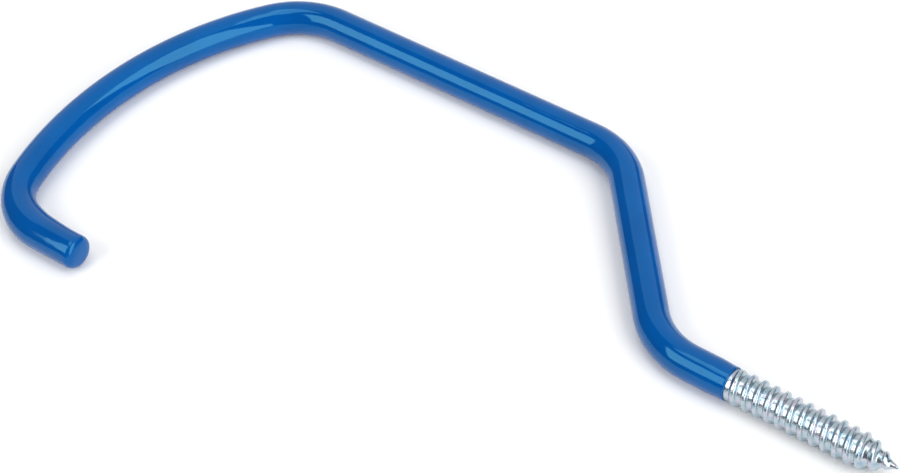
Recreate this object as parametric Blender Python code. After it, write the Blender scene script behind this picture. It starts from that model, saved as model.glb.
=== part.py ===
"""Storage hook for hanging a bicycle by its wheel.

A round steel wire is bent in one plane. A lag thread with a gimlet point is rolled
on its straight end, and a glossy vinyl coat, closed over the hook's tip, covers the
rest. The hook lies flat: the back run lies along X, the screw points to +X within a
degree, the jog rises towards +Y, and the plane of the bends is level. The origin is
under the middle of its outline.
Lengths are in metres and angles in degrees.
"""

import math

import bmesh
import bpy

# Steel wire
WIRE_DIAMETER = 0.0070
WIRE_END_CHAMFER = 0.0006

# Lag thread, rolled on the straight end of the wire
THREAD_DIAMETER = 0.00825
THREAD_ROOT_DIAMETER = 0.0066
THREAD_PITCH = 0.00282
THREAD_LENGTH = 0.0410
THREAD_RUNOUT = 0.0012
THREAD_LEAD_IN = 0.00085
THREAD_FLAT_CREST = 0.00070
THREAD_FLANK = 0.00070
POINT_LENGTH = 0.0080
POINT_DIAMETER = 0.0004
POINT_THREAD_GROWTH = 0.0040

# Course of the wire's centre line, from the screw's point to the end of the tip
PLAIN_SHANK = 0.0003
COATED_SHANK = 0.01056
LOWER_JOG_RADIUS = 0.0203
LOWER_JOG_ANGLE = 48.2
JOG_RUN = 0.0412
UPPER_JOG_RADIUS = 0.0193
UPPER_JOG_ANGLE = 49.0
BACK_RUN = 0.0771
SHOULDER_RADIUS = 0.0219
SHOULDER_ANGLE = 49.7
BOW_RADIUS = 0.0831
BOW_ANGLE = 53.7
TIP_RADIUS = 0.0159
TIP_RUN = 0.0134
HOOK_TURN = 180.0
BACK_RUN_HEADING = 180.0

# Vinyl coat
COAT_DIAMETER = 0.00844
COAT_EDGE_DIAMETER = 0.0080
COAT_EDGE_TAPER = 0.0050
COAT_END_THICKNESS = 0.0012
COAT_END_ROUNDING = 0.0019
COAT_END_DOME = 0.0003
COAT_POOL = 0.00085
COAT_POOL_REACH = 0.0120
COAT_POOL_SETBACK = 0.0035
COAT_GAP = 0.0003

# Fineness of the facets
SIDES = 24
RINGS_PER_TURN = 8
BEND_STEP = 6.5
RING_SPACING = 0.0007
TAPER_RINGS = 4
ROUNDING_RINGS = 5
SHARP_EDGE = 50.0

# Colours, as linear red, green and blue
VINYL_BLUE = (0.002, 0.130, 0.450)
ZINC = (0.78, 0.80, 0.83)


def smooth_step(value):
    """Ease from 0 to 1 as value goes from 0 to 1, and hold outside that range."""
    held = min(max(value, 0.0), 1.0)
    return held * held * (3.0 - 2.0 * held)


class Course:
    """Level line of straight runs and bends that meet without a corner."""

    def __init__(self, runs, heading):
        self.pieces = []
        self.length = 0.0
        x, y = 0.0, 0.0
        turned = math.radians(heading)
        for length, degrees in runs:
            curvature = math.radians(degrees) / length
            self.pieces.append((self.length, length, x, y, turned, curvature))
            x, y, turned = self.along(self.pieces[-1], length)
            self.length += length

    @staticmethod
    def along(piece, distance):
        """Place and heading at a distance along one run or bend."""
        _, _, x, y, heading, curvature = piece
        if curvature == 0.0:
            return x + distance * math.cos(heading), y + distance * math.sin(heading), heading
        turned = heading + distance * curvature
        across = (math.sin(turned) - math.sin(heading)) / curvature
        up = (math.cos(heading) - math.cos(turned)) / curvature
        return x + across, y + up, turned

    def at(self, distance):
        """Place and heading at a distance from the start of the course."""
        piece = self.pieces[0]
        for candidate in self.pieces:
            if distance >= candidate[0]:
                piece = candidate
        return self.along(piece, distance - piece[0])

    def stops(self, start, end):
        """Distances from start to end where a swept tube needs a ring."""
        marks = [start, end]
        for begin, length, _, _, _, curvature in self.pieces:
            steps = max(1, math.ceil(math.degrees(abs(curvature)) * length / BEND_STEP))
            marks += [begin + length * step / steps for step in range(steps + 1)]
        kept = [start]
        for mark in sorted(marks):
            if mark - kept[-1] > RING_SPACING and end - mark > RING_SPACING:
                kept.append(mark)
        return kept + [end]


def bend(radius, degrees):
    """Length and angle of a bend, as a run of the course."""
    return radius * math.radians(abs(degrees)), degrees


def wire_course():
    """The wire's centre line, from the screw's point to the coated end of the tip."""
    runs = [
        (COAT_START + COATED_SHANK, 0.0),
        bend(LOWER_JOG_RADIUS, -LOWER_JOG_ANGLE),
        (JOG_RUN, 0.0),
        bend(UPPER_JOG_RADIUS, UPPER_JOG_ANGLE),
        (BACK_RUN, 0.0),
        bend(SHOULDER_RADIUS, SHOULDER_ANGLE),
        bend(BOW_RADIUS, BOW_ANGLE),
        bend(TIP_RADIUS, HOOK_TURN - SHOULDER_ANGLE - BOW_ANGLE),
        (TIP_RUN, 0.0),
    ]
    return Course(runs, BACK_RUN_HEADING - UPPER_JOG_ANGLE + LOWER_JOG_ANGLE)


COAT_START = THREAD_LENGTH + PLAIN_SHANK
COURSE = wire_course()
WIRE_END = COURSE.length - COAT_END_THICKNESS
POOL_MIDDLE = COURSE.length - TIP_RUN - COAT_POOL_SETBACK


def outline_centre():
    """Middle of the hook's outline in plan, on the course's own axes."""
    coat_radius = COAT_DIAMETER / 2.0
    coated = [COURSE.at(distance) for distance in COURSE.stops(COAT_START, COURSE.length)]
    lows = [min(place[axis] for place in coated) - coat_radius for axis in (0, 1)]
    highs = [max(place[axis] for place in coated) + coat_radius for axis in (0, 1)]
    highs[0] = 0.0
    return (lows[0] + highs[0]) / 2.0, (lows[1] + highs[1]) / 2.0


CENTRE_X, CENTRE_Y = outline_centre()


def ring(distance, radius_at):
    """Points of one cross-section. radius_at gives the radius at an angle about the wire."""
    x, y, heading = COURSE.at(distance)
    points = []
    for side in range(SIDES):
        angle = 2.0 * math.pi * side / SIDES
        radius = radius_at(angle)
        outward = radius * math.cos(angle)
        points.append((
            x - CENTRE_X - outward * math.sin(heading),
            y - CENTRE_Y + outward * math.cos(heading),
            COAT_DIAMETER / 2.0 + radius * math.sin(angle),
        ))
    return points


def round_ring(distance, radius):
    """Points of one circular cross-section."""
    return ring(distance, lambda angle: radius)


def swept_solid(name, rings, material):
    """Closed solid through a row of rings, with a flat face on its first and last ring."""
    bm = bmesh.new()
    loops = [[bm.verts.new(point) for point in points] for points in rings]
    for near, far in zip(loops, loops[1:]):
        for side in range(SIDES):
            after = (side + 1) % SIDES
            bm.faces.new((near[side], near[after], far[after], far[side]))
    bm.faces.new(loops[0])
    bm.faces.new(loops[-1])
    bmesh.ops.recalc_face_normals(bm, faces=bm.faces)
    bmesh.ops.triangulate(bm, faces=bm.faces, quad_method="SHORT_EDGE")
    mesh = bpy.data.meshes.new(name)
    bm.to_mesh(mesh)
    bm.free()
    mesh.shade_smooth()
    mesh.set_sharp_from_angle(angle=math.radians(SHARP_EDGE))
    mesh.materials.append(material)
    solid = bpy.data.objects.new(name, mesh)
    bpy.context.scene.collection.objects.link(solid)
    return solid


def finish(name, colour, roughness, metallic):
    """Material with one plain colour."""
    material = bpy.data.materials.new(name)
    material.use_nodes = True
    shader = material.node_tree.nodes["Principled BSDF"]
    shader.inputs["Base Color"].default_value = (*colour, 1.0)
    shader.inputs["Roughness"].default_value = roughness
    shader.inputs["Metallic"].default_value = metallic
    return material


def thread_height(phase):
    """Height of the thread's ridge, from 0 at its root to 1 at its crest, over one turn."""
    from_crest = abs(phase - math.floor(phase) - 0.5) * THREAD_PITCH
    return 1.0 - smooth_step((from_crest - THREAD_FLAT_CREST / 2.0) / THREAD_FLANK)


def screw_radius(distance, angle):
    """Radius of the right-handed screw at a distance from its point."""
    point = min(distance / POINT_LENGTH, 1.0)
    runout = smooth_step((THREAD_LENGTH - distance) / THREAD_RUNOUT)
    root = (THREAD_ROOT_DIAMETER * point + POINT_DIAMETER * (1.0 - point)) / 2.0
    core = root * runout + WIRE_DIAMETER / 2.0 * (1.0 - runout)
    ridge = (THREAD_DIAMETER - THREAD_ROOT_DIAMETER) / 2.0
    grown = smooth_step(distance / POINT_THREAD_GROWTH)
    phase = (distance - THREAD_LEAD_IN) / THREAD_PITCH - angle / (2.0 * math.pi)
    return core + ridge * grown * runout * thread_height(phase)


def steel_wire_rings():
    """Rings of the wire, from the gimlet point to the cut end inside the coat."""
    count = round(THREAD_LENGTH / THREAD_PITCH * RINGS_PER_TURN)
    rings = []
    for index in range(count + 1):
        distance = THREAD_LENGTH * index / count
        rings.append(ring(distance, lambda angle: screw_radius(distance, angle)))
    radius = WIRE_DIAMETER / 2.0
    for distance in COURSE.stops(THREAD_LENGTH, WIRE_END - WIRE_END_CHAMFER)[1:]:
        rings.append(round_ring(distance, radius))
    rings.append(round_ring(WIRE_END, radius - WIRE_END_CHAMFER))
    return rings


def coat_radius_at(distance, angle):
    """Outer radius of the coat, thin at its edge and pooled inside the bend of the tip."""
    edge = COAT_EDGE_DIAMETER / 2.0
    full = COAT_DIAMETER / 2.0
    taper = smooth_step((distance - COAT_START) / COAT_EDGE_TAPER)
    nearness = 1.0 - smooth_step(abs(distance - POOL_MIDDLE) / COAT_POOL_REACH)
    inner_side = max(math.cos(angle), 0.0) ** 2
    return edge + (full - edge) * taper + COAT_POOL * nearness * inner_side


def coat_bore_rings():
    """Rings of the coat's bore, from its closed end back to its edge."""
    bore = WIRE_DIAMETER / 2.0 + COAT_GAP
    bore_end = WIRE_END + COAT_GAP
    rings = [round_ring(bore_end, bore - WIRE_END_CHAMFER)]
    for distance in reversed(COURSE.stops(COAT_START, bore_end - WIRE_END_CHAMFER)):
        rings.append(round_ring(distance, bore))
    return rings


def coat_skin_rings():
    """Rings of the coat's outer skin, from its edge to the domed end of the tip."""
    rounding_start = COURSE.length - COAT_END_ROUNDING
    stops = COURSE.stops(COAT_START + COAT_EDGE_TAPER, rounding_start)
    taper = [COAT_START + COAT_EDGE_TAPER * step / TAPER_RINGS for step in range(TAPER_RINGS)]
    rings = [ring(distance, lambda angle: coat_radius_at(distance, angle)) for distance in taper + stops]
    flat = COAT_DIAMETER / 2.0 - COAT_END_ROUNDING
    for step in range(1, ROUNDING_RINGS + 1):
        turned = math.radians(90.0 * step / ROUNDING_RINGS)
        reach = (COAT_END_ROUNDING - COAT_END_DOME) * math.sin(turned)
        rings.append(round_ring(rounding_start + reach, flat + COAT_END_ROUNDING * math.cos(turned)))
    half_way_in = COURSE.length - COAT_END_DOME / 4.0
    rings.append(round_ring(half_way_in, flat / 2.0))
    return rings


def build():
    """Clear the scene and make the two pieces of the hook."""
    for old in list(bpy.data.objects):
        bpy.data.objects.remove(old)
    swept_solid("steel_rod", steel_wire_rings(), finish("zinc_plate", ZINC, 0.25, 1.0))
    swept_solid("vinyl_coating", coat_bore_rings() + coat_skin_rings(), finish("vinyl", VINYL_BLUE, 0.2, 0.0))


build()
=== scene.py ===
import math

import bmesh
import bpy
from mathutils import Matrix, Vector


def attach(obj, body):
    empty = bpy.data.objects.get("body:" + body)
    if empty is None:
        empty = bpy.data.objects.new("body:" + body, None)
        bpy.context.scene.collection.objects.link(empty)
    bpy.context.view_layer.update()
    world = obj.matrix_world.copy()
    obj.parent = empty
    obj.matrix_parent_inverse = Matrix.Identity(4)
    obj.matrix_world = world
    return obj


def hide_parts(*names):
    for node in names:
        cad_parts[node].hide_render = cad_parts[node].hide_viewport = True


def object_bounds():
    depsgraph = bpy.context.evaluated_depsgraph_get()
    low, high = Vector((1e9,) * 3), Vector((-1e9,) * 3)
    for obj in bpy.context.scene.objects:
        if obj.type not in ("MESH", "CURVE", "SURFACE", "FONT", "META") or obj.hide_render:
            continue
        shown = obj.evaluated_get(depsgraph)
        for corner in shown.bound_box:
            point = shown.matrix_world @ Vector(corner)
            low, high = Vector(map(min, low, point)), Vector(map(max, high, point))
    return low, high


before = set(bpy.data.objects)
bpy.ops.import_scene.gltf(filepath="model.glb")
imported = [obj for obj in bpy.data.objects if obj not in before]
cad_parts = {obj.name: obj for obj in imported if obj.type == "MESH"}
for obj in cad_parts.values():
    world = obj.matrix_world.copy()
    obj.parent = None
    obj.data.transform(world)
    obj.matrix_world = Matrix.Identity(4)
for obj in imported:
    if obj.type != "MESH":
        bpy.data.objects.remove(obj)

# Bicycle storage hook: a zinc-plated wire with a rolled lag thread, dipped in blue vinyl.
# It lies flat with its screw along +X. Lengths are in metres and angles in degrees.

cadBox = [list(corner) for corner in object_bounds()]
print("frame loaded, box", cadBox)

hookCourse = {                  # centre line of the wire, from the screw's point to the tip
    "startHeading": 179.2,      # the screw leans a little off the back run
    "shankRun": 0.05186,        # screw and plain shank
    "lowerJogRadius": 0.0203,
    "lowerJogAngle": 48.2,
    "jogRun": 0.0412,
    "upperJogRadius": 0.0193,
    "upperJogAngle": 49.0,
    "backRun": 0.0771,
    "shoulderRadius": 0.0219,
    "shoulderAngle": 49.7,
    "bowRadius": 0.0831,
    "bowAngle": 53.7,
    "tipRadius": 0.0159,
    "tipRun": 0.0136,
    "hookTurn": 180.0,          # from the back run to the tip, which ends parallel to it
    "lieHeight": 0.00422,       # the wire's centre above the floor, half the coat's diameter
    "pointAcross": 0.00104,     # the screw's point, off the middle of the outline
}


def smoothStep(value):
    held = min(max(value, 0.0), 1.0)
    return held * held * (3.0 - 2.0 * held)


def courseBends():              # radius, turn to the left and the straight after each bend
    c = hookCourse
    tipAngle = c["hookTurn"] - c["shoulderAngle"] - c["bowAngle"]
    return [
        (c["lowerJogRadius"], -c["lowerJogAngle"], c["jogRun"]),
        (c["upperJogRadius"], c["upperJogAngle"], c["backRun"]),
        (c["shoulderRadius"], c["shoulderAngle"], 0.0),
        (c["bowRadius"], c["bowAngle"], 0.0),
        (c["tipRadius"], tipAngle, c["tipRun"]),
    ]


def courseLength():
    bends = courseBends()
    turned = sum(radius * math.radians(abs(degrees)) for radius, degrees, run in bends)
    return hookCourse["shankRun"] + turned + sum(run for radius, degrees, run in bends)


def aheadOf(heading):
    return Vector((math.cos(heading), math.sin(heading), 0.0))


def leftOf(heading):
    return Vector((-math.sin(heading), math.cos(heading), 0.0))


# A tube in the making is a dictionary: its bmesh, the edges of its open end ring, and where
# that ring is: its centre, its heading in radians and its distance along from the point.

def startTube(radius, sides, along):
    bm = bmesh.new()
    heading = math.radians(hookCourse["startHeading"])
    point = Vector((cadBox[1][0], hookCourse["pointAcross"], hookCourse["lieHeight"]))
    centre = point + aheadOf(heading) * along
    facing = Matrix.Rotation(heading, 4, "Z") @ Matrix.Rotation(math.radians(90.0), 4, "Y")
    place = Matrix.Translation(centre) @ facing
    bmesh.ops.create_circle(bm, cap_ends=False, radius=radius, segments=sides, matrix=place)
    edges = list(bm.edges)
    return {"bm": bm, "edges": edges, "centre": centre, "heading": heading, "along": along}


def runOn(tube, length):        # one straight step
    step = aheadOf(tube["heading"]) * length
    made = bmesh.ops.extrude_edge_only(tube["bm"], edges=tube["edges"])["geom"]
    verts = {item for item in made if isinstance(item, bmesh.types.BMVert)}
    edges = [item for item in made if isinstance(item, bmesh.types.BMEdge)]
    tube["edges"] = [edge for edge in edges if verts.issuperset(edge.verts)]
    bmesh.ops.translate(tube["bm"], verts=list(verts), vec=step)
    tube["centre"] = tube["centre"] + step
    tube["along"] += length


def turnOn(tube, radius, degrees):      # one step round a bend, to the left where it is positive
    turn = math.radians(degrees)
    pivot = tube["centre"] + leftOf(tube["heading"]) * math.copysign(radius, turn)
    made = bmesh.ops.spin(
        tube["bm"], geom=tube["edges"], cent=pivot, axis=(0.0, 0.0, 1.0), dvec=(0.0, 0.0, 0.0),
        angle=turn, steps=1, use_duplicate=False, use_merge=False)
    tube["edges"] = [item for item in made["geom_last"] if isinstance(item, bmesh.types.BMEdge)]
    tube["centre"] = pivot + Matrix.Rotation(turn, 3, "Z") @ (tube["centre"] - pivot)
    tube["heading"] += turn
    tube["along"] += radius * abs(turn)


def shapeRing(tube, radiusAt):          # sets every corner of the end ring to its own radius
    side = leftOf(tube["heading"])
    for vert in {vert for edge in tube["edges"] for vert in edge.verts}:
        offset = vert.co - tube["centre"]
        angle = math.atan2(offset.z, offset.dot(side))      # 0 at the left of the wire, then up
        vert.co = tube["centre"] + offset.normalized() * radiusAt(tube["along"], angle)


def straightOn(tube, length, longestStep, radiusAt):
    steps = math.ceil(length / longestStep)
    for _ in range(steps):
        runOn(tube, length / steps)
        shapeRing(tube, radiusAt)


def followCourse(tube, radiusAt, longestStep, bendStep, end):   # the shank and all that follows
    straightOn(tube, hookCourse["shankRun"] - tube["along"], longestStep, radiusAt)
    for radius, degrees, run in courseBends():
        steps = math.ceil(abs(degrees) / bendStep)
        for _ in range(steps):
            turnOn(tube, radius, degrees / steps)
            shapeRing(tube, radiusAt)
        if run > 0.0:
            straightOn(tube, min(run, end - tube["along"]), longestStep, radiusAt)


def closeEnd(tube):             # flat face over the open end ring
    return bmesh.ops.contextual_create(tube["bm"], geom=tube["edges"])["faces"][0]


def finishPiece(tube, name, material, sharpAngle):
    bm = tube["bm"]
    bmesh.ops.recalc_face_normals(bm, faces=bm.faces)
    mesh = bpy.data.meshes.new(name)
    bm.to_mesh(mesh)
    bm.free()
    mesh.shade_smooth()
    mesh.set_sharp_from_angle(angle=math.radians(sharpAngle))
    mesh.materials.append(material)
    piece = bpy.data.objects.new(name, mesh)
    bpy.context.scene.collection.objects.link(piece)
    return piece


def newMaterial(name):          # with its nodes, its links and the place on the object
    material = bpy.data.materials.new(name)
    material.use_nodes = True
    nodes = material.node_tree.nodes
    place = nodes.new("ShaderNodeTexCoord").outputs["Object"]
    return material, nodes, material.node_tree.links, place


def addNode(nodes, kind, inputs):
    node = nodes.new(kind)
    for key, value in inputs.items():
        node.inputs[key].default_value = value
    return node


def addNoise(nodes, links, place, scale, detail):
    noise = addNode(nodes, "ShaderNodeTexNoise", {"Scale": scale, "Detail": detail})
    links.new(place, noise.inputs["Vector"])
    return noise.outputs["Fac"]


def addRamp(nodes, links, factor, stops):       # stops are (position, colour) pairs
    ramp = nodes.new("ShaderNodeValToRGB")
    elements = ramp.color_ramp.elements
    while len(elements) < len(stops):
        elements.new(0.5)
    for element, (position, colour) in zip(elements, stops):
        element.position = position
        element.color = (*colour, 1.0)
    links.new(factor, ramp.inputs["Fac"])
    return ramp.outputs["Color"]


def addRange(nodes, links, value, low, high):   # spreads 0..1 over low..high
    spread = addNode(nodes, "ShaderNodeMapRange", {"To Min": low, "To Max": high})
    links.new(value, spread.inputs["Value"])
    return spread.outputs["Result"]


def addBump(nodes, links, height, distance, before=None):
    bump = addNode(nodes, "ShaderNodeBump", {"Distance": distance})
    links.new(height, bump.inputs["Height"])
    if before is not None:
        links.new(before, bump.inputs["Normal"])
    return bump.outputs["Normal"]


vinylCoat = {
    "edge": 0.0413,             # from the screw's point to the coat's thin edge
    "diameter": 0.00844,
    "edgeDiameter": 0.0080,
    "edgeTaper": 0.0050,
    "edgeRings": 10,
    "wall": 0.00027,
    "endLength": 0.0025,
    "endSquareness": 3.0,       # 2 gives a half ellipse, and more a flatter cap
    "endRings": 14,
    "pool": 0.00085,            # extra vinyl inside the bend of the tip
    "poolReach": 0.0120,
    "poolSetback": 0.0035,      # its middle, before the bend's end
    "sides": 72,
    "longestStep": 0.0040,
    "bendStep": 2.0,
    "sharpAngle": 60.0,         # edges steeper than this stay sharp
    "colours": [                # stops of a ramp over the clouds
        (0.3, (0.000, 0.068, 0.290)),
        (0.5, (0.000, 0.075, 0.313)),
        (0.7, (0.000, 0.082, 0.336)),
    ],
    # each noise has its scale and its detail
    "cloudNoise": (90.0, 3.0),
    "roughness": (0.035, 0.08),
    "smearNoise": (260.0, 4.0),
    "swellNoise": (120.0, 1.0),
    "swellDepth": 0.00006,
    "grainNoise": (2600.0, 2.0),
    "grainDepth": 0.0000015,
    "glossTint": (0.24, 0.86, 0.97),
    "ior": 1.55,
}


def vinylMaterial():
    v = vinylCoat
    material, nodes, links, place = newMaterial("blueVinyl")
    shader = nodes["Principled BSDF"]
    cloud = addNoise(nodes, links, place, *v["cloudNoise"])
    links.new(addRamp(nodes, links, cloud, v["colours"]), shader.inputs["Base Color"])
    smear = addNoise(nodes, links, place, *v["smearNoise"])
    links.new(addRange(nodes, links, smear, *v["roughness"]), shader.inputs["Roughness"])
    swell = addNoise(nodes, links, place, *v["swellNoise"])
    grain = addNoise(nodes, links, place, *v["grainNoise"])
    soft = addBump(nodes, links, swell, v["swellDepth"])
    links.new(addBump(nodes, links, grain, v["grainDepth"], soft), shader.inputs["Normal"])
    shader.inputs["IOR"].default_value = v["ior"]
    shader.inputs["Specular Tint"].default_value = (*v["glossTint"], 1.0)
    return material


def coatRadius(along, angle):
    v = vinylCoat
    full = v["diameter"] / 2.0
    edge = v["edgeDiameter"] / 2.0
    taper = smoothStep((along - v["edge"]) / v["edgeTaper"])
    poolMiddle = courseLength() - hookCourse["tipRun"] - v["poolSetback"]
    pooled = 1.0 - smoothStep(abs(along - poolMiddle) / v["poolReach"])
    inside = max(math.cos(angle), 0.0) ** 2
    return edge + (full - edge) * taper + v["pool"] * pooled * inside


def capEnd(tube):               # a softly squared cap, in rings that shrink to its middle
    v = vinylCoat
    start, power = tube["along"], 2.0 / v["endSquareness"]
    for ring in range(1, v["endRings"] + 1):
        lean = math.radians(90.0 * ring / (v["endRings"] + 1))
        radius = v["diameter"] / 2.0 * math.cos(lean) ** power
        runOn(tube, start + v["endLength"] * math.sin(lean) ** power - tube["along"])
        shapeRing(tube, lambda along, angle: radius)
    bmesh.ops.poke(tube["bm"], faces=[closeEnd(tube)])


def makeVinylCoat():
    v = vinylCoat
    tube = startTube(v["edgeDiameter"] / 2.0, v["sides"], v["edge"])
    straightOn(tube, v["edgeTaper"], v["edgeTaper"] / v["edgeRings"], coatRadius)
    end = courseLength() - v["endLength"]
    followCourse(tube, coatRadius, v["longestStep"], v["bendStep"], end)
    capEnd(tube)
    piece = finishPiece(tube, "vinylCoat", vinylMaterial(), v["sharpAngle"])
    wall = piece.modifiers.new("wall", "SOLIDIFY")
    wall.thickness = v["wall"]
    wall.offset = -1.0          # inwards
    return piece


steelRod = {
    "diameter": 0.0074,
    "endChamfer": 0.0006,
    "endInside": 0.0012,        # the wire stops this far inside the coat's end
    "threadDiameter": 0.0083,
    "rootDiameter": 0.0067,
    "pitch": 0.00282,
    "screwLength": 0.0413,      # up to the coat's edge
    "lastCrest": 13.5,          # counted in turns from the point
    "fadeFrom": 115.0,          # the last turn fades round the back, between these angles
    "fadeTo": 180.0,
    "leadIn": 0.00085,          # the thread's first root, from the screw's point
    "flatCrest": 0.0005,
    "flank": 0.00075,
    "pointLength": 0.0080,
    "pointDiameter": 0.0004,
    "pointGrowth": 0.0055,      # over this length the ridge rises from the point
    "sides": 80,
    "ringsPerTurn": 32,
    "longestStep": 0.0100,
    "bendStep": 6.0,
    "sharpAngle": 60.0,
    "colours": [                # bluish, greenish, plain and warm zinc over the clouds
        (0.35, (0.33, 0.43, 0.57)),
        (0.45, (0.41, 0.54, 0.57)),
        (0.52, (0.46, 0.52, 0.59)),
        (0.64, (0.57, 0.56, 0.65)),
    ],
    # each noise has its scale and its detail
    "cloudNoise": (700.0, 4.0),
    "roughness": (0.15, 0.36),
    "smearNoise": (900.0, 4.0),
    "dentNoise": (2400.0, 3.0),
    "dentDepth": 0.00004,
}


def screwRadius(along, angle):      # right-handed thread on a gimlet point
    r = steelRod
    plain = r["diameter"] / 2.0
    point = min(along / r["pointLength"], 1.0)
    root = (r["rootDiameter"] * point + r["pointDiameter"] * (1.0 - point)) / 2.0
    ridge = (r["threadDiameter"] - r["rootDiameter"]) / 2.0
    crest = root + ridge * smoothStep(along / r["pointGrowth"])
    turn = (along - r["leadIn"]) / r["pitch"] - angle / (2.0 * math.pi)
    past = turn - r["lastCrest"]
    faded = smoothStep((math.degrees(angle) - r["fadeFrom"]) / (r["fadeTo"] - r["fadeFrom"]))
    if past > -1.0:             # the last groove fills up to the plain wire
        root += (plain - root) * faded
    if past > -0.5:             # and the last crest sinks to it
        crest += (plain - crest) * faded
    if past > 0.0:
        root = plain
    fromCrest = (past if past > 0.0 else abs(turn - math.floor(turn) - 0.5)) * r["pitch"]
    height = 1.0 - smoothStep((fromCrest - r["flatCrest"] / 2.0) / r["flank"])
    return root + (crest - root) * height


def zincMaterial():
    r = steelRod
    material, nodes, links, place = newMaterial("brightZinc")
    shader = nodes["Principled BSDF"]
    cloud = addNoise(nodes, links, place, *r["cloudNoise"])
    links.new(addRamp(nodes, links, cloud, r["colours"]), shader.inputs["Base Color"])
    smear = addNoise(nodes, links, place, *r["smearNoise"])
    links.new(addRange(nodes, links, smear, *r["roughness"]), shader.inputs["Roughness"])
    dents = addNoise(nodes, links, place, *r["dentNoise"])
    links.new(addBump(nodes, links, dents, r["dentDepth"]), shader.inputs["Normal"])
    shader.inputs["Metallic"].default_value = 1.0
    return material


def makeSteelRod():
    r = steelRod
    plain = r["diameter"] / 2.0
    tube = startTube(r["pointDiameter"] / 2.0, r["sides"], 0.0)
    closeEnd(tube)
    straightOn(tube, r["screwLength"], r["pitch"] / r["ringsPerTurn"], screwRadius)
    end = courseLength() - r["endInside"]
    followCourse(tube, lambda along, angle: plain, r["longestStep"], r["bendStep"], end)
    closeEnd(tube)
    bmesh.ops.bevel(
        tube["bm"], geom=tube["edges"], offset=r["endChamfer"], offset_type="OFFSET",
        affect="EDGES", segments=1, profile=0.5, material=-1, clamp_overlap=True)
    return finishPiece(tube, "steelRod", zincMaterial(), r["sharpAngle"])


print("growing the vinyl coat")
coatPiece = makeVinylCoat()
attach(coatPiece, "root")
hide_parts("vinyl_coating")

print("growing the threaded rod")
rodPiece = makeSteelRod()
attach(rodPiece, "root")
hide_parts("steel_rod")

studioFloor = {
    "size": 3.0,                # from its middle to each side
    "colours": [(0.3, (0.96, 0.96, 0.96)), (0.7, (0.97, 0.97, 0.97))],
    "cloudNoise": (3.0, 2.0),
    "roughness": 0.9,
}


def makeFloor():
    f = studioFloor
    bm = bmesh.new()
    bmesh.ops.create_grid(bm, x_segments=1, y_segments=1, size=f["size"])
    mesh = bpy.data.meshes.new("floor")
    bm.to_mesh(mesh)
    bm.free()
    material, nodes, links, place = newMaterial("paleFloor")
    shader = nodes["Principled BSDF"]
    cloud = addNoise(nodes, links, place, *f["cloudNoise"])
    links.new(addRamp(nodes, links, cloud, f["colours"]), shader.inputs["Base Color"])
    shader.inputs["Roughness"].default_value = f["roughness"]
    shader.inputs["Specular IOR Level"].default_value = 0.0     # no gloss
    mesh.materials.append(material)
    floor = bpy.data.objects.new("floor", mesh)
    bpy.context.scene.collection.objects.link(floor)
    return floor


studioLight = {
    "room": 0.12,               # grey of the world round the softboxes
    "distance": 2.2,            # from the hook to each softbox
    "softboxes": {              # azimuth from +X, sizes, and the turn about the lamp's own axis
        "left": {"azimuth": 240.0, "elevation": 41.0, "width": 1.12, "height": 1.6,
                 "lean": 19.0, "brightness": 3.65},
        "right": {"azimuth": 349.0, "elevation": 32.0, "width": 1.5, "height": 3.0,
                  "lean": -30.0, "brightness": 3.65},
        "back": {"azimuth": 112.0, "elevation": 44.0, "width": 5.6, "height": 3.0,
                 "lean": -50.0, "brightness": 0.75},
        "top": {"azimuth": 199.0, "elevation": 82.0, "width": 0.8, "height": 1.3,
                "lean": -47.0, "brightness": 2.5},
    },
}


def makeWorld():
    world = bpy.data.worlds.new("studioRoom")
    bpy.context.scene.world = world
    world.use_nodes = True
    grey = [studioLight["room"]] * 3
    world.node_tree.nodes["Background"].inputs["Color"].default_value = (*grey, 1.0)


def lookFrom(azimuth, elevation, roll):     # the direction from the hook, and a turn to face back
    turn, lift = math.radians(azimuth), math.radians(elevation)
    level = math.cos(lift)
    away = Vector((level * math.cos(turn), level * math.sin(turn), math.sin(lift)))
    facing = away.to_track_quat("Z", "Y").to_matrix()
    return away, facing @ Matrix.Rotation(math.radians(roll), 3, "Z")


def makeSoftbox(name, azimuth, elevation, width, height, lean, brightness):
    away, facing = lookFrom(azimuth, elevation, lean)
    light = bpy.data.lights.new(name, "AREA")
    light.shape = "RECTANGLE"
    light.size = width
    light.size_y = height
    light.energy = brightness * math.pi * width * height    # as bright at any size
    lamp = bpy.data.objects.new(name, light)
    lamp.location = away * studioLight["distance"]
    lamp.rotation_euler = facing.to_euler()
    lamp.visible_camera = False
    bpy.context.scene.collection.objects.link(lamp)


cameraView = {
    "aim": (-0.00637, 0.0039, 0.0042),
    "distance": 0.5698,
    "azimuth": -47.49,          # from +X, towards the camera
    "elevation": 48.23,
    "roll": 8.27,
    "lens": 98.05,
    "sensor": 36.0,
}


def makeCamera():
    c = cameraView
    away, facing = lookFrom(c["azimuth"], c["elevation"], -c["roll"])
    data = bpy.data.cameras.new("camera")
    data.lens = c["lens"]
    data.sensor_width = c["sensor"]
    camera = bpy.data.objects.new("camera", data)
    place = Vector(c["aim"]) + away * c["distance"]
    camera.matrix_world = Matrix.Translation(place) @ facing.to_4x4()
    bpy.context.scene.collection.objects.link(camera)
    bpy.context.scene.camera = camera


print("setting the studio")
makeFloor()
makeWorld()
for side, box in studioLight["softboxes"].items():
    makeSoftbox(side + "Softbox", **box)
makeCamera()
bpy.context.scene.view_settings.view_transform = "Standard"
